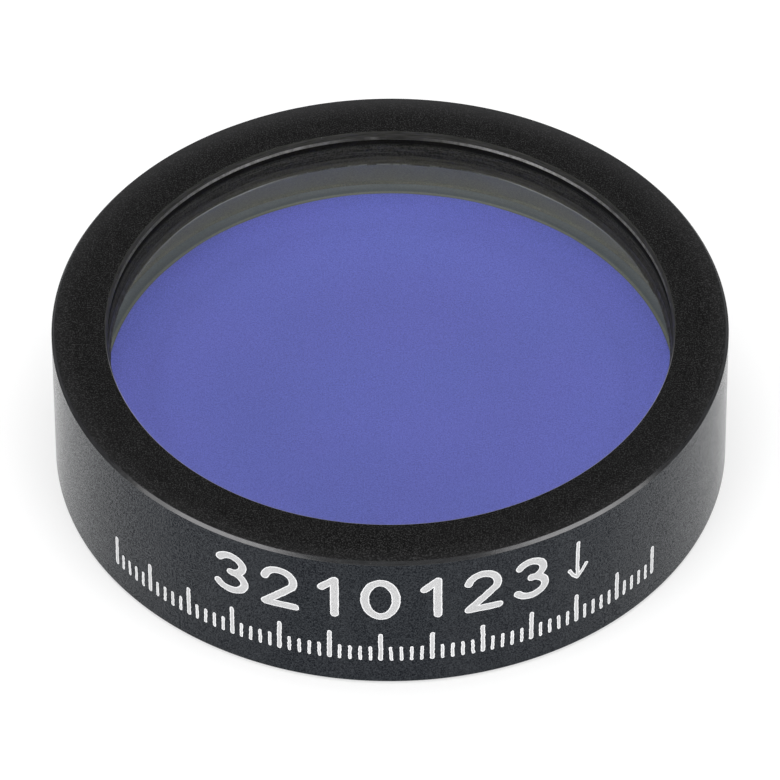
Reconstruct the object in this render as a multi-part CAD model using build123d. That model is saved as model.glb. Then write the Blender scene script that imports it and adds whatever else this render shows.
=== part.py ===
from build123d import *

import os

# Optical bandpass filter in a round mounting ring.
# Frame: origin at the centre of the rear face, +Z along the optical axis towards the front face.
# All sizes in millimetres. Every piece is a body of revolution about Z.

# ---- driving dimensions -------------------------------------------------------------------
outer_d = 25.4              # rim diameter, the standard one-inch optic size
height = 6.3                # rear face to front face
edge_break = 0.11           # 45 degree break on the four rim corners that a hand meets

lip_bore_r = 10.60          # front opening (clear aperture)
lip_t = 1.55                # thickness of the front lip, front face to seat
lip_chamfer_r = 0.10        # mouth chamfer, measured along the face
lip_chamfer_z = 0.34        # mouth chamfer, measured down the bore
counterbore_r = 11.6        # pocket bored from the rear that holds the glass stack
counterbore_break = 0.10    # break at the pocket's rear mouth

stack_r = 11.45             # radius of every plate in the stack
plate_chamfer = 0.12        # ground safety chamfer on the plate edges
front_glass_t = 3.40        # clear front plate
film_r = 10.80              # coated zone, scribed back from the plate edge
film_t = 0.05               # each coating, drawn thicker than the real film
cement_core_t = 0.10        # cement between the two coatings
blocking_glass_t = 0.55     # coloured rear plate

retainer_inset = 0.05       # retaining ring sits this far inside the rear face
retainer_bore_r = 10.55     # rear opening
retainer_chamfer = 0.15     # mouth chamfer of the retaining ring

bead_h = 0.34               # front seal bead, height up the lip bore
bead_w = 0.12               # front seal bead, width on the glass
rear_bead_h = 0.26          # rear seal bead, height down the retaining ring's bore
rear_bead_w = 0.14          # rear seal bead, width on the glass

# ---- levels along the axis ----------------------------------------------------------------
outer_r = outer_d / 2
seat_z = height - lip_t                               # underside of the lip, front of the glass
front_glass_z0 = seat_z - front_glass_t               # rear face of the clear plate
bandpass_z0 = front_glass_z0 - film_t
core_z0 = bandpass_z0 - cement_core_t
blocking_film_z0 = core_z0 - film_t                   # front face of the coloured plate
blocking_glass_z0 = blocking_film_z0 - blocking_glass_t
retainer_z1 = blocking_glass_z0                       # retaining ring bears on the rear plate


def turned(points):
    """One solid from a closed profile of (radius, height) points, turned about Z."""
    with BuildPart() as body:
        with BuildSketch(Plane.XZ):
            with BuildLine():
                Polyline(*[(r, z) for r, z in points], close=True)
            make_face()
        revolve(axis=Axis.Z)
    return body.part


def turned_bead(wall_r, face_z, width, rise):
    """A bead that fills the corner between a bore wall and a flat face, sloping from one to the other."""
    return turned([(wall_r - width, face_z), (wall_r, face_z), (wall_r, face_z + rise)])


# ---- mounting ring: rim, front lip, stepped bore, all one turned piece -----------------------
housing_ring = turned([
    (outer_r - edge_break, 0.0),
    (outer_r, edge_break),
    (outer_r, height - edge_break),
    (outer_r - edge_break, height),
    (lip_bore_r + lip_chamfer_r, height),
    (lip_bore_r, height - lip_chamfer_z),
    (lip_bore_r, seat_z),
    (counterbore_r, seat_z),
    (counterbore_r, counterbore_break),
    (counterbore_r + counterbore_break, 0.0),
])

# ---- glass stack, front to rear --------------------------------------------------------------
# Clear plate with a fine-ground edge; both faces keep a safety chamfer.
front_glass = turned([
    (0.0, front_glass_z0),
    (stack_r - plate_chamfer, front_glass_z0),
    (stack_r, front_glass_z0 + plate_chamfer),
    (stack_r, seat_z - plate_chamfer),
    (stack_r - plate_chamfer, seat_z),
    (0.0, seat_z),
])

# Bandpass coating on the rear face of the clear plate.
bandpass_coating = turned([
    (0.0, bandpass_z0),
    (film_r, bandpass_z0),
    (film_r, front_glass_z0),
    (0.0, front_glass_z0),
])

# Cement: a disc between the coatings with a rim on each side that closes the uncoated margin.
optical_cement = turned([
    (0.0, core_z0),
    (film_r, core_z0),
    (film_r, blocking_film_z0),
    (stack_r - plate_chamfer, blocking_film_z0),
    (stack_r - plate_chamfer, front_glass_z0),
    (film_r, front_glass_z0),
    (film_r, bandpass_z0),
    (0.0, bandpass_z0),
])

# Blocking coating on the front face of the coloured plate.
blocking_coating = turned([
    (0.0, blocking_film_z0),
    (film_r, blocking_film_z0),
    (film_r, core_z0),
    (0.0, core_z0),
])

# Coloured rear plate.
blocking_glass = turned([
    (0.0, blocking_glass_z0),
    (stack_r - plate_chamfer, blocking_glass_z0),
    (stack_r, blocking_glass_z0 + plate_chamfer),
    (stack_r, blocking_film_z0 - plate_chamfer),
    (stack_r - plate_chamfer, blocking_film_z0),
    (0.0, blocking_film_z0),
])

# ---- seals and retainer ------------------------------------------------------------------------
# Edge seal: fills the gap round the stack and the notch between the two plates' chamfers.
edge_seal = turned([
    (counterbore_r, blocking_glass_z0),
    (counterbore_r, seat_z),
    (stack_r - plate_chamfer, seat_z),
    (stack_r, seat_z - plate_chamfer),
    (stack_r, front_glass_z0 + plate_chamfer),
    (stack_r - plate_chamfer, front_glass_z0),
    (stack_r - plate_chamfer, blocking_film_z0),
    (stack_r, blocking_film_z0 - plate_chamfer),
    (stack_r, blocking_glass_z0 + plate_chamfer),
    (stack_r - plate_chamfer, blocking_glass_z0),
])

# Front seal bead in the corner of the lip bore and the clear plate.
front_seal_bead = turned_bead(lip_bore_r, seat_z, bead_w, bead_h)

# Retaining ring pressed into the pocket behind the stack.
retaining_ring = turned([
    (counterbore_r - 0.08, retainer_inset),
    (counterbore_r, retainer_inset + 0.08),
    (counterbore_r, retainer_z1),
    (retainer_bore_r, retainer_z1),
    (retainer_bore_r, retainer_inset + retainer_chamfer),
    (retainer_bore_r + retainer_chamfer, retainer_inset),
])

# Rear seal bead in the corner of the retaining ring's bore and the coloured plate.
rear_seal_bead = turned_bead(retainer_bore_r, blocking_glass_z0, rear_bead_w, -rear_bead_h)

# ---- one file per piece --------------------------------------------------------------------------
pieces = {
    "housing_ring": housing_ring,
    "front_glass": front_glass,
    "bandpass_coating": bandpass_coating,
    "optical_cement": optical_cement,
    "blocking_coating": blocking_coating,
    "blocking_glass": blocking_glass,
    "edge_seal": edge_seal,
    "front_seal_bead": front_seal_bead,
    "retaining_ring": retaining_ring,
    "rear_seal_bead": rear_seal_bead,
}

os.makedirs("parts", exist_ok=True)
for name, shape in pieces.items():
    export_step(shape, f"parts/{name}.step")
    print(name, round(shape.volume, 4), "mm3")
print("levels", [round(z, 3) for z in (0, retainer_inset, blocking_glass_z0, blocking_film_z0, core_z0, bandpass_z0, front_glass_z0, seat_z, height)])
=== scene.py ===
import math

import bpy
import numpy as np
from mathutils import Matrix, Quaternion, Vector


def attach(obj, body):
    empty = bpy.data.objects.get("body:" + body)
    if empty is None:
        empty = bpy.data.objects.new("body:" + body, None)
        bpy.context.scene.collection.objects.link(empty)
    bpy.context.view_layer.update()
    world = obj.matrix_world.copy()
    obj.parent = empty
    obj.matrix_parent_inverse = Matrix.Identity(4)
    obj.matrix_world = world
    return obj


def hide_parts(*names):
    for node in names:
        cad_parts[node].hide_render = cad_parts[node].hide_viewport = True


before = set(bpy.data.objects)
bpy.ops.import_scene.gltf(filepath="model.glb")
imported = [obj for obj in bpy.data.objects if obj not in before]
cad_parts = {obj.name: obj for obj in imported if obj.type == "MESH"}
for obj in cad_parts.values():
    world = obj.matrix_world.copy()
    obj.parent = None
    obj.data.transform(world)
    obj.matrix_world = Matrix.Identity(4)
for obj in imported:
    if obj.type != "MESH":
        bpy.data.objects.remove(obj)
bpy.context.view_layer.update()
MM = 0.001
scene = bpy.context.scene

# ---- sizes, in millimetres, as the CAD model has them -----------------------------------------
HEIGHT = 6.3
RIM_R = 12.695           # the engraved fill stands 4 micrometres proud of this, still inside 12.7
EDGE_BREAK = 0.135
LIP_R = 10.60
REAR_R = 10.55
CHAMFER_R, CHAMFER_Z = 0.08, 0.34
SEAT_Z = 4.75
POCKET_R = 11.6
FILM_R = 10.80
STACK_R = 11.43
PLATE_Z = 1.35           # rear face of the clear plate

# ================================================================================================
# camera, floor and light
# ================================================================================================
cam_data = bpy.data.cameras.new("camera")
cam_data.sensor_width = 36.0
cam_data.lens = 429.0
cam_data.clip_start, cam_data.clip_end = 0.02, 20.0
camera = bpy.data.objects.new("camera", cam_data)
scene.collection.objects.link(camera)
eye = Vector((0.0, -252.47, 246.39)) * MM
aim = Vector((-0.015, -1.714, 4.497)) * MM
camera.rotation_mode = "QUATERNION"
camera.location = eye
camera.rotation_quaternion = (aim - eye).to_track_quat("-Z", "Y") @ Quaternion((0, 0, 1), math.radians(-0.254))
scene.camera = camera

scene.view_settings.view_transform = "Standard"
scene.view_settings.look = "None"


# ---- node helper -------------------------------------------------------------------------------
class Tree:
    """Short calls for building a node tree."""

    def __init__(self, owner):
        owner.use_nodes = True
        self.t = owner.node_tree
        self.t.nodes.clear()

    def add(self, kind, props=None, **inputs):
        n = self.t.nodes.new(kind)
        for k, v in (props or {}).items():
            setattr(n, k, v)
        for k, v in inputs.items():
            self.put(n, k, v)
        return n

    def put(self, n, key, v):
        if isinstance(key, str) and key.startswith("i") and key[1:].isdigit():
            s = n.inputs[int(key[1:])]
        else:
            s = n.inputs[key.replace("_", " ")] if key.replace("_", " ") in n.inputs else n.inputs[key]
        if isinstance(v, bpy.types.NodeSocket):
            self.t.links.new(v, s)
        else:
            s.default_value = v

    def math(self, op, a, b=None, c=None, clamp=False):
        n = self.t.nodes.new("ShaderNodeMath")
        n.operation = op
        n.use_clamp = clamp
        for i, v in enumerate((a, b, c)):
            if v is not None:
                self.put(n, f"i{i}", v)
        return n.outputs[0]

    def noise(self, vector, scale, detail=2.0, rough=0.5):
        n = self.add("ShaderNodeTexNoise", {"noise_dimensions": "3D"}, Vector=vector)
        n.inputs["Scale"].default_value = scale
        n.inputs["Detail"].default_value = detail
        n.inputs["Roughness"].default_value = rough
        return n.outputs[0]

    def ramp(self, fac, low, high, to_low=0.0, to_high=1.0, smooth=False):
        n = self.add("ShaderNodeMapRange", {"clamp": True, "interpolation_type": "SMOOTHSTEP" if smooth else "LINEAR"})
        self.put(n, "i0", fac)
        for i, v in enumerate((low, high, to_low, to_high)):
            self.put(n, f"i{i + 1}", v)
        return n.outputs[0]

    def mix(self, fac, a, b):
        n = self.add("ShaderNodeMix", {"data_type": "RGBA"})
        self.put(n, "i0", fac)
        self.put(n, "i6", a)
        self.put(n, "i7", b)
        return n.outputs[2]

    def mixf(self, fac, a, b):
        n = self.add("ShaderNodeMix", {"data_type": "FLOAT"})
        self.put(n, "i0", fac)
        self.put(n, "i2", a)
        self.put(n, "i3", b)
        return n.outputs[0]

    def place(self):
        """Object coordinates, and their parts: (vector, x, y, z, radius)."""
        co = self.add("ShaderNodeTexCoord").outputs["Object"]
        s = self.add("ShaderNodeSeparateXYZ", Vector=co)
        x, y, z = s.outputs
        r = self.math("SQRT", self.math("ADD", self.math("MULTIPLY", x, x), self.math("MULTIPLY", y, y)))
        return co, x, y, z, r

    def vec(self, x, y, z):
        return self.add("ShaderNodeCombineXYZ", i0=x, i1=y, i2=z).outputs[0]

    def bump(self, height, strength, distance, normal=None):
        n = self.add("ShaderNodeBump", Height=height)
        n.inputs["Strength"].default_value = strength
        self.put(n, "Distance", distance)
        if normal is not None:
            self.put(n, "Normal", normal)
        return n.outputs[0]

    def surface(self, shader):
        out = self.add("ShaderNodeOutputMaterial")
        self.t.links.new(shader, out.inputs["Surface"])


def grey(v):
    return (v, v, v, 1.0)


# ---- world: pale at the horizon and behind, dimmer overhead --------------------------------------------------
world = bpy.data.worlds.new("studio")
scene.world = world
w = Tree(world)
toward = w.add("ShaderNodeSeparateXYZ", Vector=w.add("ShaderNodeTexCoord").outputs["Generated"])
up = toward.outputs[2]
sky = w.mix(w.ramp(up, 0.0, 0.68), grey(0.52), grey(0.27))
sky = w.mix(w.ramp(up, 0.80, 1.0), sky, grey(0.50))
# the white sweep behind the object
sweep = w.math("MULTIPLY", w.ramp(toward.outputs[1], 0.25, 0.85), w.ramp(up, 0.10, 0.42, 1.0, 0.0, smooth=True))
sky = w.mix(sweep, sky, grey(1.45))
bg = w.add("ShaderNodeBackground", Color=sky)
out = w.add("ShaderNodeOutputWorld")
w.t.links.new(bg.outputs[0], out.inputs["Surface"])

# ---- floor ----------------------------------------------------------------------------------------
floor_mesh = bpy.data.meshes.new("floor")
side = 1.6
floor_mesh.from_pydata([(-side, -side, 0), (side, -side, 0), (side, side, 0), (-side, side, 0)], [], [(0, 1, 2, 3)])
floor = bpy.data.objects.new("floor", floor_mesh)
scene.collection.objects.link(floor)
fm = bpy.data.materials.new("floor")
f = Tree(fm)
paper = f.add("ShaderNodeBsdfDiffuse", Color=(0.46, 0.46, 0.46, 1))
glow = f.add("ShaderNodeEmission", Color=(1, 1, 1, 1), Strength=0.52)
f.surface(f.add("ShaderNodeAddShader", i0=paper.outputs[0], i1=glow.outputs[0]).outputs[0])
floor_mesh.materials.append(fm)


def softbox(name, azimuth, elevation, distance, wide, high, power):
    """A rectangular soft light that faces the object; azimuth 0 is the camera's side, + to the right."""
    data = bpy.data.lights.new(name, "AREA")
    data.shape = "RECTANGLE"
    data.size, data.size_y = wide, high
    data.energy = power
    o = bpy.data.objects.new(name, data)
    scene.collection.objects.link(o)
    a, e = math.radians(azimuth), math.radians(elevation)
    place = Vector((math.sin(a) * math.cos(e), -math.cos(a) * math.cos(e), math.sin(e))) * distance
    o.location = place
    o.rotation_mode = "QUATERNION"
    o.rotation_quaternion = (-place).to_track_quat("-Z", "Y")
    return o


for side, sign in (("left", -1), ("right", 1)):
    softbox("softbox_" + side, 49 * sign, 25, 0.70, 0.62, 0.50, 2.3).visible_glossy = False
# beside them, sources that only show in the polished edges, brightest in the middle
for side, azimuth, wide, power in (("left", -54, 0.70, 0.9), ("right", 60, 0.58, 0.55)):
    softbox("glint_" + side, azimuth, 25, 0.70, wide, 0.50, 2.2).visible_diffuse = False
    softbox("core_" + side, azimuth, 25, 0.69, 0.5 * wide, 0.44, power).visible_diffuse = False
# the overhead light lifts the shadows only; it leaves no mirror line on the edges
softbox("softbox_top", 0, 88, 0.80, 0.80, 0.80, 5.6).visible_glossy = False


# ================================================================================================
# mesh helpers
# ================================================================================================
def rounded(points, radii, steps=5, hold=0.006):
    """Closed profile with each corner turned into an arc, and a support point just outside each arc."""
    out = []
    n = len(points)
    for i in range(n):
        p = np.array(points[i], float)
        a = np.array(points[i - 1], float) - p
        b = np.array(points[(i + 1) % n], float) - p
        la, lb = np.linalg.norm(a), np.linalg.norm(b)
        a, b = a / la, b / lb
        turn = math.acos(max(-1, min(1, float(a @ b))))
        r = radii[i]
        if r <= 0 or abs(turn - math.pi) < 1e-3:
            out.append(tuple(p))
            continue
        d = min(r / math.tan(turn / 2), 0.45 * la, 0.45 * lb)
        r = d * math.tan(turn / 2)
        centre = p + (a + b) / np.linalg.norm(a + b) * (r / math.sin(turn / 2))
        s, e = p + a * d - centre, p + b * d - centre
        a0 = math.atan2(s[1], s[0])
        sweep = math.atan2(e[1], e[0]) - a0
        sweep = (sweep + math.pi) % (2 * math.pi) - math.pi
        out.append(tuple(p + a * min(d + hold, 0.49 * la)))
        for k in range(steps + 1):
            t = a0 + sweep * k / steps
            out.append((centre[0] + r * math.cos(t), centre[1] + r * math.sin(t)))
        out.append(tuple(p + b * min(d + hold, 0.49 * lb)))
    return out


def lathe(name, profile, segments=720, warp=None, smooth=True):
    """A closed mesh: the closed (radius, height) profile turned about Z. Points with radius 0 become one pole vertex."""
    prof = np.array(profile, float)
    angles = np.arange(segments) * 2 * math.pi / segments
    verts, index = [], []
    for j, (r, z) in enumerate(prof):
        if r < 1e-9:
            index.append(np.full(segments, len(verts)))
            verts.append((0.0, 0.0, z))
            continue
        rr, zz = np.full(segments, r), np.full(segments, z)
        if warp is not None:
            rr, zz = warp(j, rr, zz, angles)
        index.append(np.arange(len(verts), len(verts) + segments))
        verts.extend(zip(rr * np.sin(angles), -rr * np.cos(angles), zz))
    faces = []
    m = len(prof)
    for j in range(m):
        a, b = index[j], index[(j + 1) % m]
        pa, pb = a[0] == a[-1], b[0] == b[-1]
        if pa and pb:
            continue
        a2, b2 = np.roll(a, -1), np.roll(b, -1)
        if pa:
            faces.extend(zip(a, b2, b))
        elif pb:
            faces.extend(zip(a, a2, b))
        else:
            faces.extend(zip(a, a2, b2, b))
    me = bpy.data.meshes.new(name)
    me.from_pydata([tuple(c * MM for c in v) for v in verts], [], [tuple(int(i) for i in fc) for fc in faces])
    # profiles run so that the faces look outward; the sign of the volume settles it
    area = 0.5 * sum(prof[i][0] * prof[(i + 1) % m][1] - prof[(i + 1) % m][0] * prof[i][1] for i in range(m))
    if area < 0:
        me.flip_normals()
    me.validate()
    me.update()
    for p in me.polygons:
        p.use_smooth = smooth
    o = bpy.data.objects.new(name, me)
    scene.collection.objects.link(o)
    return o


def settle(o, mat_slot, *nodes, materials=()):
    for mat in materials:
        o.data.materials.append(mat)
    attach(o, "root")
    if nodes:
        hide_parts(*nodes)
    return o


def wave(angles, seed, low, high, count):
    """Seeded smooth noise round the circle, mean 0, about -1 to 1."""
    rng = np.random.default_rng(seed)
    total = np.zeros_like(angles)
    for k in np.unique(rng.integers(low, high, count)):
        total += rng.normal() * np.sin(k * angles + rng.uniform(0, 2 * math.pi))
    return total / max(1e-9, np.abs(total).max())


# ================================================================================================
# materials
# ================================================================================================
def anodised(name, top_z, rim_r, seed):
    """Black anodised aluminium: satin rim with fine turning lines, and a duller grained finish on the faces."""
    mat = bpy.data.materials.new(name)
    t = Tree(mat)
    co, x, y, z, r = t.place()
    on_rim = t.ramp(r, (rim_r - 0.03) * MM, (rim_r - 0.008) * MM)
    # turning lines: noise squeezed along the axis on the rim, along the radius on the faces
    round_co = t.vec(t.math("MULTIPLY", x, 0.04), t.math("MULTIPLY", y, 0.04), t.math("ADD", z, seed * 0.01))
    lines = t.noise(round_co, 26000.0, 3.0, 0.6)
    broad = t.noise(round_co, 5200.0, 2.0, 0.5)
    face_co = t.vec(t.math("MULTIPLY", x, 0.03), t.math("MULTIPLY", y, 0.03), t.math("ADD", r, seed * 0.02))
    rings = t.noise(face_co, 15000.0, 2.0, 0.5)
    grain = t.noise(co, 19500.0, 2.0, 0.75)
    cloud = t.noise(co, 420.0, 3.0, 0.55)
    fine = t.noise(co, 17000.0, 3.0, 0.75)
    # colour
    face_dark = t.mix(t.ramp(grain, 0.50, 0.66), (0.0001, 0.0001, 0.0001, 1), (0.0380, 0.0380, 0.0380, 1))
    # painted sheen: the faces are paler towards the outer edge, most of all on the rear half, where the crown would
    # catch the light
    outward_painted_light = t.math("ADD", t.ramp(r, 11.8 * MM, 12.7 * MM, 0.0, 0.30), t.math("MULTIPLY", t.ramp(y, 2.0 * MM, 11.0 * MM), t.ramp(r, 11.4 * MM, 12.7 * MM, 0.0, 0.55)))
    face_dark = t.mix(outward_painted_light, face_dark, (0.0290, 0.0290, 0.0300, 1))
    rim_dark = t.mix(t.ramp(fine, 0.42, 0.66), (0.0050, 0.0060, 0.0086, 1), (0.0185, 0.0202, 0.0246, 1))
    bands = t.noise(t.vec(x, y, t.math("MULTIPLY", z, 0.06)), 700.0, 3.0, 0.6)
    rim_dark = t.mix(t.ramp(bands, 0.35, 0.68, 0.0, 0.30), rim_dark, (0.0265, 0.0280, 0.0320, 1))
    colour = t.mix(on_rim, face_dark, rim_dark)
    # roughness
    rough_face = t.ramp(grain, 0.3, 0.7, 0.30, 0.42)
    rough_rim = t.math("ADD", t.ramp(lines, 0.3, 0.7, 0.10, 0.17), t.ramp(cloud, 0.3, 0.7, -0.02, 0.03))
    rough = t.mixf(on_rim, rough_face, rough_rim)
    # relief
    height = t.mixf(on_rim, t.math("ADD", grain, t.math("MULTIPLY", rings, 0.2)),
                    t.math("ADD", t.math("MULTIPLY", lines, 0.5), t.math("ADD", t.math("MULTIPLY", broad, 0.5), t.math("MULTIPLY", fine, 0.9))))
    normal = t.bump(height, 0.5, t.mixf(on_rim, 6.0e-6, 1.6e-5))
    p = t.add("ShaderNodeBsdfPrincipled", Base_Color=colour, Roughness=rough, Normal=normal)
    p.inputs["IOR"].default_value = 1.31
    t.put(p, "Specular Tint", t.mix(on_rim, (1.0, 1.0, 1.0, 1.0), (0.80, 0.92, 1.0, 1.0)))
    t.put(p, "Specular IOR Level", t.mixf(on_rim, 0.25, t.ramp(fine, 0.41, 0.59, 0.05, 0.68)))
    t.surface(p.outputs[0])
    return mat


def turned_edge(name, rough, ior, sheen, low, high, gloss=1.0, painted_highlight=0.0, corner=0.0, painted_side_shade=False):
    """The narrow breaks at the mouth and the rim: thinner anodising, brighter in the light, with a few pale specks of
    wear; optional painted highlights on the flanks and along the front corner, and optional painted shade round the
    sides.
    """
    mat = bpy.data.materials.new(name)
    t = Tree(mat)
    co, x, y, z, r = t.place()
    round_co = t.vec(t.math("MULTIPLY", x, 0.05), t.math("MULTIPLY", y, 0.05), t.math("ADD", z, t.math("MULTIPLY", r, 0.4)))
    lines = t.noise(round_co, 30000.0, 2.0, 0.6)
    beads = t.noise(co, 4200.0, 3.0, 0.65)
    speck = t.ramp(t.noise(co, 5200.0, 3.0, 0.7), 0.70, 0.76)
    colour = t.mix(t.ramp(lines, 0.3, 0.7), low + (1,), high + (1,))
    colour = t.mix(t.math("MULTIPLY", speck, 0.6), colour, (0.20, 0.20, 0.20, 1))
    if painted_highlight:
        # painted highlight: paler on both flanks, a little behind the middle, and in short dashes elsewhere
        around = t.math("ARCTAN2", t.math("ABSOLUTE", x), y)
        flank_highlight = t.math("MULTIPLY", t.ramp(around, 0.06, 0.46, smooth=True), t.ramp(around, 0.56, 0.95, 1.0, 0.40, smooth=True))
        flank_highlight = t.math("MULTIPLY", flank_highlight, t.math("MULTIPLY", t.ramp(around, 1.12, 1.50, 1.0, 0.1, smooth=True), t.ramp(x, -6.0 * MM, 6.0 * MM, 0.68, 1.0)))
        dash_highlight = t.ramp(t.noise(t.vec(x, y, 0.0), 620.0, 2.0, 0.6), 0.58, 0.66, 0.0, 0.28)
        flank_and_dash_highlight = t.math("MULTIPLY", t.math("MAXIMUM", flank_highlight, dash_highlight), t.ramp(beads, 0.35, 0.62, 0.45, 1.0))
        colour = t.mix(flank_and_dash_highlight, colour, (painted_highlight, painted_highlight * 0.985, painted_highlight * 0.93, 1))
    if corner:
        # painted glint: the very corner of the mouth is paler along the front
        top = t.math("MULTIPLY", t.ramp(z, (HEIGHT - 0.026) * MM, (HEIGHT - 0.014) * MM), t.ramp(y, -0.5 * MM, -4.0 * MM, smooth=True))
        colour = t.mix(t.math("MULTIPLY", top, t.ramp(beads, 0.3, 0.6, 0.8, 1.0)), colour, (corner, corner, corner * 1.03, 1))
    if painted_side_shade:
        # painted shade: less gloss round the sides and the rear than along the front, standing in for a darker surround
        # there
        azimuth = t.math("ARCTAN2", t.math("ABSOLUTE", x), t.math("MULTIPLY", y, -1.0))
        gloss = t.math("MULTIPLY", t.ramp(azimuth, 0.864, 0.985, gloss, 0.42 * gloss), t.ramp(azimuth, 0.985, 1.27, 1.0, 0.58))
    normal = t.bump(t.math("ADD", t.math("MULTIPLY", lines, 0.25), beads), 0.5, 4.0e-6)
    p = t.add("ShaderNodeBsdfPrincipled", Base_Color=colour, Roughness=t.ramp(beads, 0.3, 0.7, rough, rough + 0.08), Normal=normal)
    p.inputs["IOR"].default_value = ior
    p.inputs["Specular Tint"].default_value = sheen
    dull = t.add("ShaderNodeBsdfDiffuse", Color=colour, Roughness=0.3, Normal=normal)
    t.surface(t.add("ShaderNodeMixShader", i0=gloss, i1=dull.outputs[0], i2=p.outputs[0]).outputs[0])
    return mat


def bore_wall(name):
    """The bored surfaces: dull black with tool marks, so that they stay dark beside the bright glass."""
    mat = bpy.data.materials.new(name)
    t = Tree(mat)
    co, x, y, z, r = t.place()
    round_co = t.vec(t.math("MULTIPLY", x, 0.04), t.math("MULTIPLY", y, 0.04), z)
    lines = t.noise(round_co, 22000.0, 3.0, 0.6)
    grain = t.noise(co, 13000.0, 2.0, 0.7)
    both = t.math("ADD", t.math("MULTIPLY", lines, 0.5), t.math("MULTIPLY", grain, 0.5))
    colour = t.mix(t.ramp(both, 0.40, 0.62), (0.0145, 0.0144, 0.0124, 1), (0.0590, 0.0584, 0.0505, 1))
    # painted shade: a dark band on the wall just under the mouth break
    shade_band = t.math("MULTIPLY", t.ramp(z, 5.56 * MM, 5.80 * MM, smooth=True), t.ramp(z, 5.957 * MM, 5.945 * MM))
    colour = t.mix(t.math("MULTIPLY", shade_band, 0.85), colour, (0.0015, 0.0015, 0.0015, 1))
    normal = t.bump(both, 0.4, 4.0e-6)
    p = t.add("ShaderNodeBsdfPrincipled", Base_Color=colour, Roughness=t.ramp(grain, 0.3, 0.7, 0.55, 0.75), Normal=normal)
    p.inputs["Specular IOR Level"].default_value = 0.2
    dull = t.add("ShaderNodeBsdfDiffuse", Color=colour, Roughness=0.5, Normal=normal)
    t.surface(t.add("ShaderNodeMixShader", i0=0.15, i1=dull.outputs[0], i2=p.outputs[0]).outputs[0])
    return mat


def engraving(name):
    """Bare, frosted engraving: pale grey, brighter along its edge, slightly speckled."""
    mat = bpy.data.materials.new(name)
    t = Tree(mat)
    co, x, y, z, r = t.place()
    depth = t.add("ShaderNodeAttribute", {"attribute_name": "edge_mm"}).outputs["Fac"]
    edge = t.ramp(depth, 0.012, 0.055, 1.0, 0.0, smooth=True)
    fleck = t.noise(co, 21000.0, 2.0, 0.6)
    base = t.mix(t.ramp(fleck, 0.3, 0.72), (0.41, 0.41, 0.415, 1), (0.56, 0.56, 0.565, 1))
    colour = t.mix(edge, base, (0.84, 0.84, 0.85, 1))
    normal = t.bump(fleck, 0.4, 4.0e-6)
    p = t.add("ShaderNodeBsdfPrincipled", Base_Color=colour, Roughness=t.ramp(fleck, 0.3, 0.7, 0.55, 0.8), Normal=normal)
    t.surface(p.outputs[0])
    return mat


def clear_glass(name, ior, tint):
    """Polished plate. Rays from the lights pass, so that what lies behind is lit."""
    mat = bpy.data.materials.new(name)
    t = Tree(mat)
    co, x, y, z, r = t.place()
    haze = t.noise(co, 900.0, 3.0, 0.6)
    g = t.add("ShaderNodeBsdfPrincipled", Roughness=t.ramp(haze, 0.4, 0.75, 0.0, 0.012))
    g.inputs["Base Color"].default_value = tint
    g.inputs["Transmission Weight"].default_value = 1.0
    g.inputs["IOR"].default_value = ior
    g.inputs["Specular IOR Level"].default_value = 0.25
    clear = t.add("ShaderNodeBsdfTransparent")
    clear.inputs["Color"].default_value = tint
    m = t.add("ShaderNodeMixShader", i0=t.add("ShaderNodeLightPath").outputs["Is Shadow Ray"], i1=g.outputs[0], i2=clear.outputs[0])
    t.surface(m.outputs[0])
    return mat


def ground_edge(name):
    """Fine-ground glass edge, grey as seen through the plate."""
    mat = bpy.data.materials.new(name)
    t = Tree(mat)
    co, x, y, z, r = t.place()
    grain = t.noise(co, 16000.0, 2.0, 0.6)
    cloud = t.noise(co, 500.0, 3.0, 0.5)
    # painted light and shade: paler and yellower towards the rear face, greyer towards the seat
    down = t.ramp(z, PLATE_Z * MM, SEAT_Z * MM, 1.0, 0.0)
    colour = t.mix(down, (0.144, 0.157, 0.140, 1), (0.208, 0.204, 0.150, 1))
    colour = t.mix(t.ramp(grain, 0.36, 0.66, 0.0, 0.75), colour, (0.108, 0.112, 0.096, 1))
    colour = t.mix(t.ramp(cloud, 0.35, 0.7, 0.0, 0.20), colour, (0.175, 0.185, 0.160, 1))
    # painted shade: darker just above the rear face, in the corner with the margin
    foot = t.ramp(z, (PLATE_Z + 0.115) * MM, (PLATE_Z + 0.16) * MM, 0.22, 0.0)
    colour = t.mix(foot, colour, (0.075, 0.080, 0.072, 1))
    p = t.add("ShaderNodeBsdfPrincipled", Base_Color=colour, Roughness=0.75, Normal=t.bump(grain, 0.5, 5.0e-6))
    t.surface(p.outputs[0])
    return mat


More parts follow.
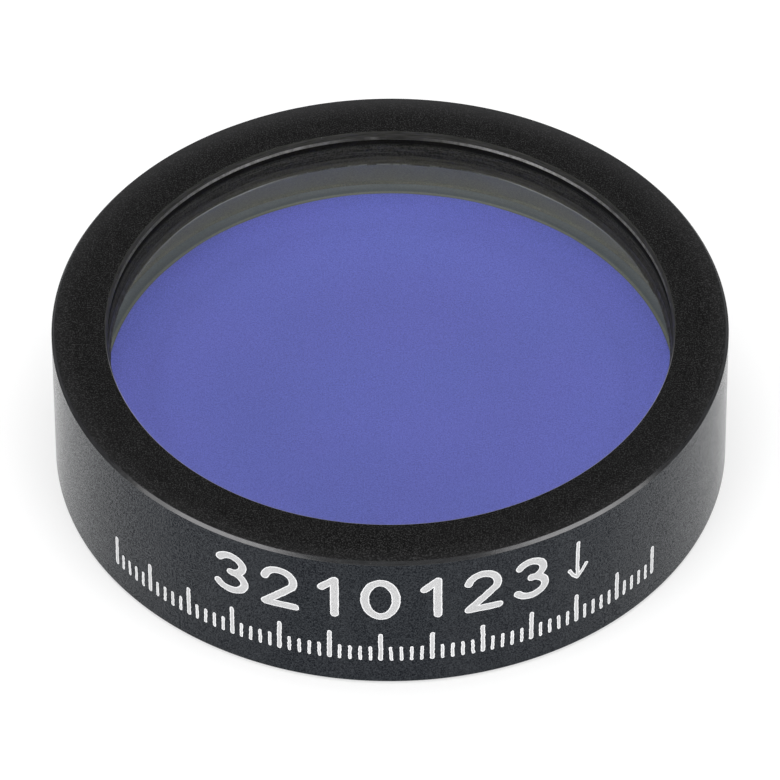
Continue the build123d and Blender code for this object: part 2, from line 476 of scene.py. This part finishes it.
def film(name, seed, inner, fringe, rough):
    """Interference coating: one colour with a faint mottle, painted light and shade across it, and an olive line along
    its outer edge.
    """
    mat = bpy.data.materials.new(name)
    t = Tree(mat)
    co, x, y, z, r = t.place()
    grain = t.noise(co, 19000.0, 2.0, 0.7)
    cloud = t.noise(co, 260.0 + seed, 3.0, 0.5)
    dust = t.ramp(t.noise(co, 3600.0, 1.0, 0.5), 0.835, 0.86)
    shift = tuple(c * k for c, k in zip(inner, (1.07, 1.0, 1.03))) + (1.0,)
    colour = t.mix(t.ramp(cloud, 0.35, 0.68, 0.0, 0.8), inner + (1.0,), shift)
    # painted light and shade: brighter towards the edge, where the recess shades the coating, and darker towards the
    # rear; then a fine grain
    swell = t.math("ADD", t.ramp(r, 4.0 * MM, 9.4 * MM, 0.94, 1.13, smooth=True), t.ramp(r, 9.0 * MM, 10.7 * MM, 0.0, 0.42))
    swell = t.math("MULTIPLY", swell, t.ramp(y, -9.0 * MM, 9.0 * MM, 1.03, 0.91, smooth=True))
    swell = t.math("MULTIPLY", swell, t.ramp(grain, 0.34, 0.66, 0.75, 1.25))
    colour = t.add("ShaderNodeMix", {"data_type": "RGBA", "blend_type": "MULTIPLY"}, i0=1.0, i6=colour, i7=t.vec(swell, swell, swell)).outputs[2]
    line = t.ramp(t.math("ADD", r, t.ramp(cloud, 0.3, 0.7, -0.02 * MM, 0.02 * MM)), (FILM_R - 0.055) * MM, (FILM_R - 0.025) * MM, smooth=True)
    colour = t.mix(line, colour, fringe + (1.0,))
    colour = t.mix(t.math("MULTIPLY", dust, 0.5), colour, (0.55, 0.55, 0.60, 1))
    p = t.add("ShaderNodeBsdfPrincipled", Base_Color=colour, Normal=t.bump(grain, 0.1, 1.0e-6))
    p.inputs["Roughness"].default_value = rough
    p.inputs["Specular IOR Level"].default_value = 0.3
    t.surface(p.outputs[0])
    return mat


def epoxy(name, dark, light, rough_low, rough_high):
    """Cured black epoxy: uneven gloss and small lumps."""
    mat = bpy.data.materials.new(name)
    t = Tree(mat)
    co, x, y, z, r = t.place()
    lump = t.noise(co, 3500.0, 3.0, 0.6)
    grain = t.noise(co, 17000.0, 2.0, 0.6)
    # smear lines along the bead, and a painted highlight in pale flecks along the foot where the front bead meets the
    # glass, continuous on the flanks
    smear = t.noise(t.vec(t.math("MULTIPLY", x, 0.05), t.math("MULTIPLY", y, 0.05), z), 16000.0, 2.0, 0.6)
    colour = t.mix(t.ramp(t.math("ADD", grain, smear), 0.75, 1.25), dark + (1.0,), light + (1.0,))
    fleck = t.ramp(t.noise(t.vec(x, y, 0.0), 1500.0, 3.0, 0.7), 0.48, 0.58)
    around = t.math("ARCTAN2", t.math("ABSOLUTE", x), y)
    flank_highlight = t.math("MULTIPLY", t.ramp(around, 0.25, 0.50), t.ramp(around, 0.85, 1.25, 0.75, 0.0))
    fleck = t.math("MAXIMUM", t.math("MULTIPLY", fleck, 0.45), flank_highlight)
    foot = t.math("MULTIPLY", t.ramp(z, (SEAT_Z + 0.018) * MM, (SEAT_Z + 0.040) * MM, 1.0, 0.0), t.ramp(z, (SEAT_Z - 0.02) * MM, (SEAT_Z - 0.01) * MM))
    colour = t.mix(t.math("MULTIPLY", foot, fleck), colour, (0.215, 0.222, 0.210, 1))
    normal = t.bump(t.math("ADD", lump, t.math("MULTIPLY", grain, 0.2)), 0.6, 1.0e-5)
    p = t.add("ShaderNodeBsdfPrincipled", Base_Color=colour, Roughness=t.ramp(lump, 0.35, 0.65, rough_low, rough_high), Normal=normal)
    p.inputs["Specular IOR Level"].default_value = 0.2
    t.surface(p.outputs[0])
    return mat


def cement(name):
    """Clear cement over the uncoated margin: grey-olive, faintly streaked."""
    mat = bpy.data.materials.new(name)
    t = Tree(mat)
    co, x, y, z, r = t.place()
    grain = t.noise(co, 12000.0, 2.0, 0.6)
    streak = t.noise(t.vec(t.math("MULTIPLY", x, 0.25), t.math("MULTIPLY", y, 0.25), t.math("ADD", r, 0.0)), 5200.0, 2.0, 0.5)
    colour = t.mix(t.ramp(streak, 0.3, 0.7), (0.105, 0.117, 0.121, 1), (0.119, 0.132, 0.137, 1))
    line = t.ramp(r, 10.86 * MM, 10.93 * MM, 1.0, 0.0, smooth=True)
    colour = t.mix(line, colour, (0.190, 0.202, 0.155, 1))
    # painted light: the margin is paler towards its outer part, which lies in the lip's shade
    outward_painted_light = t.ramp(r, 10.90 * MM, 11.28 * MM, 0.0, 1.0, smooth=True)
    colour = t.mix(outward_painted_light, colour, (0.188, 0.205, 0.202, 1))
    colour = t.mix(t.ramp(grain, 0.3, 0.7, 0.0, 0.3), colour, (0.075, 0.080, 0.075, 1))
    p = t.add("ShaderNodeBsdfPrincipled", Base_Color=colour, Roughness=t.ramp(grain, 0.3, 0.7, 0.3, 0.45), Normal=t.bump(grain, 0.2, 3.0e-6))
    t.surface(p.outputs[0])
    return mat


m_ring = anodised("anodised_ring", HEIGHT, RIM_R, 1)
m_retainer = anodised("anodised_retainer", 99.0, 99.0, 2)
# m_edge gets a painted glint along the front mouth corner, m_lip painted highlights on its flanks, m_burr painted shade
# round the sides
m_edge = turned_edge("turned_edge", 0.34, 1.36, (1.0, 0.95, 0.85, 1.0), (0.020, 0.0200, 0.0178), (0.048, 0.0480, 0.0442), 0.12, corner=0.26)
m_lip = turned_edge("lip_edge", 0.20, 1.45, (1.0, 0.97, 0.90, 1.0), (0.018, 0.0180, 0.0160), (0.044, 0.0440, 0.0405), 0.2, 0.290)
m_burr = turned_edge("rolled_edge", 0.12, 1.66, (1.0, 1.0, 1.0, 1.0), (0.0080, 0.0084, 0.0092), (0.0200, 0.0206, 0.0220), painted_side_shade=True)
m_bore = bore_wall("bore_wall")
m_mark = engraving("engraving")
m_glass = clear_glass("clear_glass", 1.5, (0.985, 0.995, 0.99, 1))
m_ground = ground_edge("ground_edge")
m_film = film("bandpass_film", 0, (0.0845, 0.0985, 0.3540), (0.13, 0.14, 0.10), 0.5)
m_block = film("blocking_film", 9, (0.34, 0.33, 0.30), (0.2, 0.2, 0.17), 0.25)
m_epoxy = epoxy("black_epoxy", (0.012, 0.0118, 0.0092), (0.036, 0.0354, 0.0280), 0.45, 0.70)
m_cement = cement("cement")
m_colour = clear_glass("colour_glass", 1.52, (0.30, 0.72, 0.74, 1))

# ================================================================================================
# pieces
# ================================================================================================
# ---- mounting ring ---------------------------------------------------------------------------
ring_points = [
    (RIM_R - EDGE_BREAK, 0.0), (RIM_R, EDGE_BREAK), (RIM_R, HEIGHT - EDGE_BREAK), (RIM_R - EDGE_BREAK + 0.025, HEIGHT - 0.025),
    (12.45, HEIGHT - 0.015), (12.25, HEIGHT - 0.008), (12.05, HEIGHT - 0.004), (11.80, HEIGHT - 0.001), (11.55, HEIGHT),
    (LIP_R + CHAMFER_R, HEIGHT), (LIP_R + 0.42 * CHAMFER_R, HEIGHT - 0.66 * CHAMFER_Z), (LIP_R, HEIGHT - CHAMFER_Z),
    (LIP_R, SEAT_Z), (POCKET_R, SEAT_Z), (POCKET_R, 0.1), (POCKET_R + 0.1, 0.0),
]
ring_radii = [0.03, 0.03, 0.03, 0.02, 0, 0, 0, 0, 0, 0.025, 0, 0.02, 0.0, 0.0, 0.03, 0.03]
ring = lathe("mounting_ring", rounded(ring_points, ring_radii, steps=4))
settle(ring, "anodised_ring", "housing_ring", materials=[m_ring, m_edge, m_bore, m_burr, m_lip])
for p in ring.data.polygons:
    c = p.center / MM
    cr = math.hypot(c.x, c.y)
    if cr > RIM_R - EDGE_BREAK - 0.004 and not EDGE_BREAK + 0.006 < c.z < HEIGHT - EDGE_BREAK - 0.006:
        p.material_index = 3
    elif HEIGHT - CHAMFER_Z + 0.008 < c.z < HEIGHT - 0.66 * CHAMFER_Z and cr < LIP_R + CHAMFER_R:
        p.material_index = 4
    elif cr < LIP_R + CHAMFER_R + 0.019 and c.z > HEIGHT - CHAMFER_Z + 0.004:
        p.material_index = 1
    elif cr < POCKET_R + 0.01 and c.z < HEIGHT - CHAMFER_Z + 0.004:
        p.material_index = 2

# ---- clear plate -------------------------------------------------------------------------------
# The rear face reaches 0.02 mm behind the coating's face, so that light meets the coating inside the glass.
z0, z1 = PLATE_Z - 0.01, SEAT_Z - 0.004
plate_points = [(0.0, z0), (6.0, z0), (STACK_R - 0.12, z0), (STACK_R, z0 + 0.12), (STACK_R, z1 - 0.12), (STACK_R - 0.12, z1), (6.0, z1), (0.0, z1)]
plate = lathe("clear_plate", plate_points, smooth=False)
settle(plate, "clear_glass", "front_glass", materials=[m_glass, m_ground])
for p in plate.data.polygons:
    c = p.center
    if math.hypot(c.x, c.y) > (STACK_R - 0.125) * MM:
        p.material_index = 1

# ---- coatings and cement -----------------------------------------------------------------------
film_z = PLATE_Z + 0.01
disc = lathe("bandpass_film", [(0.0, 1.30), (5.0, 1.30), (FILM_R, 1.30), (FILM_R, film_z), (5.0, film_z), (0.0, film_z)], smooth=False)
settle(disc, "bandpass_film", "bandpass_coating", materials=[m_film])
collar = lathe("cement_margin", [(0.0, 1.20), (FILM_R, 1.20), (FILM_R, 1.145), (STACK_R - 0.12, 1.145), (STACK_R - 0.12, film_z), (FILM_R, film_z), (FILM_R, 1.298), (0.0, 1.298)], smooth=False)
settle(collar, "cement", "optical_cement", materials=[m_cement])
back_film = lathe("blocking_film", [(0.0, 1.14), (FILM_R, 1.14), (FILM_R, 1.198), (0.0, 1.198)], smooth=False)
settle(back_film, "blocking_film", "blocking_coating", materials=[m_block])

# ---- coloured plate ----------------------------------------------------------------------------
back_plate = lathe("coloured_plate", [(0.0, 0.604), (6.0, 0.604), (STACK_R - 0.12, 0.604), (STACK_R, 0.72), (STACK_R, 1.03), (STACK_R - 0.12, 1.147), (6.0, 1.147), (0.0, 1.147)], smooth=False)
settle(back_plate, "colour_glass", "blocking_glass", materials=[m_colour, m_ground])
for p in back_plate.data.polygons:
    c = p.center
    if math.hypot(c.x, c.y) > (STACK_R - 0.125) * MM:
        p.material_index = 1

# ---- retaining ring ------------------------------------------------------------------------------
retainer = lathe("retaining_ring_turned", rounded(
    [(POCKET_R - 0.09, 0.05), (POCKET_R - 0.004, 0.14), (POCKET_R - 0.004, 0.6), (REAR_R, 0.6), (REAR_R, 0.2), (REAR_R + 0.15, 0.05)],
    [0.03, 0.03, 0, 0, 0.03, 0.03]))
settle(retainer, "anodised_retainer", "retaining_ring", materials=[m_retainer])


# ---- seal beads: uneven by hand-laid amounts ---------------------------------------------------------
def bead(name, wall_r, face_z, width, rise, seed, node):
    steps = 8
    prof = [(wall_r + 0.01, face_z), (wall_r + 0.01, face_z + rise * 1.02)]
    for k in range(steps + 1):
        t = k / steps
        # thin on the wall, swelling to a soft foot on the glass
        prof.append((wall_r - width * (0.10 * t + 0.90 * t ** 2.4), face_z + rise * (1 - t)))
    prof.append((wall_r - width, face_z - 0.004 * (1 if rise > 0 else -1)))

    def warp(j, rr, zz, angles):
        share_r = (wall_r - rr) / width
        share_z = (zz - face_z) / rise
        scallop = np.abs(np.sin(angles * 34 + 2.2 * wave(angles, seed + 5, 2, 14, 8))) ** 0.6
        swell = 0.78 + 0.05 * scallop + 0.20 * wave(angles, seed, 3, 20, 10) + 0.04 * wave(angles, seed + 1, 40, 110, 30)
        climb = 1.0 + 0.03 * wave(angles, seed + 2, 3, 30, 12) + 0.02 * wave(angles, seed + 3, 70, 300, 40)
        rr = np.where(share_r > 0, wall_r - share_r * width * np.clip(swell, 0.25, 1.0), rr)
        zz = np.where(share_z > 0, face_z + share_z * rise * np.clip(climb, 0.8, 1.1), zz)
        return rr, zz

    o = lathe(name, prof, segments=1440, warp=warp)
    settle(o, "black_epoxy", node, materials=[m_epoxy])
    return o


bead("front_bead", LIP_R, SEAT_Z - 0.004, 0.12, 0.34, 11, "front_seal_bead")
bead("rear_bead", REAR_R, 0.604, 0.10, -0.24, 21, "rear_seal_bead")

# ---- the edge seal keeps its CAD mesh; it only needs its finish ------------------------------------------
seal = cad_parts["edge_seal"]
seal.data.materials.clear()
seal.data.materials.append(m_epoxy)


# ================================================================================================
# engraved index marks on the rim: plain numbers over a graduated scale, and a direction arrow
# ================================================================================================
def arc(cx, cy, rx, ry, start, end, n=28):
    a = np.radians(np.linspace(start, end, n))
    return np.column_stack([cx + rx * np.cos(a), cy + ry * np.sin(a)])


# single-line numerals, unit height, about 0.62 wide
NUMERALS = {
    "0": [arc(0.31, 0.5, 0.31, 0.5, 0, 360, 56)],
    "1": [np.array([(0.10, 0.76), (0.36, 1.0), (0.36, 0.0)])],
    "2": [np.vstack([arc(0.31, 0.70, 0.30, 0.30, 168, -28, 30), [(0.02, 0.0)], [(0.64, 0.0)]])],
    "3": [np.vstack([arc(0.29, 0.755, 0.27, 0.245, 150, -80, 26)]), arc(0.29, 0.265, 0.31, 0.265, 88, -152, 30)],
}


def nearest(points, line):
    """Distance from each point to a polyline."""
    best = np.full(points.shape[:-1], 1e9)
    for a, b in zip(line[:-1], line[1:]):
        d = b - a
        t = np.clip(((points - a) @ d) / max(d @ d, 1e-12), 0, 1)
        best = np.minimum(best, np.linalg.norm(points - (a + t[..., None] * d), axis=-1))
    return best


def lattice(shape, cell, wavelength, seed):
    """Seeded value noise on a grid, -1 to 1."""
    rng = np.random.default_rng(seed)
    step = wavelength / cell
    ny, nx = int(shape[0] / step) + 3, int(shape[1] / step) + 3
    values = rng.uniform(-1, 1, (ny, nx))
    y, x = np.arange(shape[0]) / step, np.arange(shape[1]) / step
    iy, ix = y.astype(int), x.astype(int)
    fy, fx = y - iy, x - ix
    fy, fx = (fy * fy * (3 - 2 * fy))[:, None], (fx * fx * (3 - 2 * fx))[None, :]
    g = lambda dy, dx: values[np.ix_(iy + dy, ix + dx)]
    return (g(0, 0) * (1 - fx) + g(0, 1) * fx) * (1 - fy) + (g(1, 0) * (1 - fx) + g(1, 1) * fx) * fy


class Marks:
    """Collects inked shapes on the unrolled rim and builds one closed mesh of thin patches that follow the cylinder."""

    def __init__(self, name, cell):
        self.name, self.cell = name, cell
        self.verts, self.faces, self.depth = [], [], []

    def stroke(self, lines, width, seed, ragged, wavelength):
        """lines: polylines in (arc, height) millimetres."""
        every = np.vstack(lines)
        pad = width / 2 + 4 * self.cell + ragged
        lo, hi = every.min(0) - pad, every.max(0) + pad
        nx, ny = int((hi[0] - lo[0]) / self.cell) + 2, int((hi[1] - lo[1]) / self.cell) + 2
        gx, gy = lo[0] + np.arange(nx) * self.cell, lo[1] + np.arange(ny) * self.cell
        pts = np.stack(np.meshgrid(gx, gy), axis=-1)
        d = np.full(pts.shape[:2], 1e9)
        for line in lines:
            d = np.minimum(d, nearest(pts, np.asarray(line, float)))
        inside = width / 2 - d + ragged * lattice(d.shape, self.cell, wavelength, seed) + 0.5 * ragged * lattice(d.shape, self.cell, wavelength * 0.45, seed + 500)
        self.patch(gx, gy, inside)

    def patch(self, gx, gy, f):
        ny, nx = f.shape
        f = np.where(np.abs(f) < 1e-6, 1e-6, f)
        made = {}
        top, faces = [], []

        def corner(i, j):
            key = (i, j)
            if key not in made:
                made[key] = len(top)
                top.append((gx[j], gy[i], f[i, j]))
            return made[key]

        def cut(i, j, k, l):
            key = (i, j, k, l) if (i, j) < (k, l) else (k, l, i, j)
            if key not in made:
                i, j, k, l = key
                s = f[i, j] / (f[i, j] - f[k, l])
                s = min(0.98, max(0.02, s))
                made[key] = len(top)
                top.append((gx[j] + s * (gx[l] - gx[j]), gy[i] + s * (gy[k] - gy[i]), 0.0))
            return made[key]

        sign = f > 0
        for i in range(ny - 1):
            row = sign[i, :-1] | sign[i, 1:] | sign[i + 1, :-1] | sign[i + 1, 1:]
            for j in np.nonzero(row)[0]:
                ring_ = [(i, j), (i, j + 1), (i + 1, j + 1), (i + 1, j)]
                inside = [sign[a] for a in ring_]
                if all(inside):
                    faces.append([corner(*a) for a in ring_])
                    continue
                if inside in ([True, False, True, False], [False, True, False, True]):
                    # two opposite corners: one small triangle each
                    for k in range(4):
                        if inside[k]:
                            a, b, c = ring_[k], ring_[(k + 1) % 4], ring_[k - 1]
                            faces.append([corner(*a), cut(*a, *b), cut(*a, *c)])
                    continue
                poly = []
                for k in range(4):
                    a, b = ring_[k], ring_[(k + 1) % 4]
                    if inside[k]:
                        poly.append(corner(*a))
                    if inside[k] != inside[(k + 1) % 4]:
                        poly.append(cut(*a, *b))
                faces.append(poly)
        base = len(self.verts)
        count = len(top)
        for radius in (RIM_R + 0.004, RIM_R - 0.02):
            for u, v, depth in top:
                a = u / 12.7
                self.verts.append((radius * math.sin(a), -radius * math.cos(a), v))
                self.depth.append(depth)
        edges = {}
        for fc in faces:
            self.faces.append([base + i for i in fc])
            self.faces.append([base + count + i for i in reversed(fc)])
            for a, b in zip(fc, fc[1:] + fc[:1]):
                edges[(a, b)] = True
        for a, b in edges:
            if (b, a) not in edges:
                self.faces.append([base + b, base + a, base + count + a, base + count + b])

    def build(self, mat):
        me = bpy.data.meshes.new(self.name)
        me.from_pydata([tuple(c * MM for c in v) for v in self.verts], [], self.faces)
        me.update()
        att = me.attributes.new("edge_mm", "FLOAT", "POINT")
        att.data.foreach_set("value", np.array(self.depth, np.float32))
        o = bpy.data.objects.new(self.name, me)
        scene.collection.objects.link(o)
        settle(o, "anodised_ring", materials=[mat])
        return o


def along(degrees):
    return math.radians(degrees) * 12.7


STEP = 8.6                       # degrees between numbers
CENTRE = -1.8                    # the zero stands here
numerals = Marks("index_numbers", 0.025)
line_w, tall = 0.32, 2.05
for k, digit in zip(range(-3, 4), "3210123"):
    middle = along(CENTRE + STEP * k)
    h = tall - line_w
    half = 0.31 * h * 1.08
    lines = []
    for s in NUMERALS[digit]:
        q = np.asarray(s, float).copy()
        if digit == "1":
            q[:, 0] += 0.06
        lines.append(np.column_stack([middle - half + q[:, 0] * h * 1.08, 3.38 + line_w / 2 + q[:, 1] * h]))
    numerals.stroke(lines, line_w, 100 + k, 0.010, 0.16)
numerals.build(m_mark)

scale = Marks("index_graduations", 0.025)
for k in range(-15, 46):
    u = along(CENTRE - STEP * 3 + STEP / 5 * k)
    major = k % 5 == 0
    low, high = 1.22, (2.62 if major else 1.95)
    wide = 0.17 if major else 0.125
    rng = np.random.default_rng(300 + k)
    lean = rng.normal(0, 0.006)
    n = 9
    vs = np.linspace(low + wide / 2, high - wide / 2, n)
    us = u + lean * np.linspace(-1, 1, n) + rng.normal(0, 0.005, n)
    scale.stroke([np.column_stack([us, vs])], wide, 400 + k, 0.012, 0.09)
scale.build(m_mark)

arrow = Marks("direction_arrow", 0.02)
tip = (along(32.74), 3.55)
arrow.stroke([
    np.array([(along(32.82), 5.28), (along(32.70), 4.4), tip]),
    np.array([(along(31.15), 4.02), (along(31.9), 3.72), tip]),
    np.array([(along(34.45), 4.05), (along(33.6), 3.78), tip]),
], 0.155, 901, 0.010, 0.12)
arrow.build(m_mark)
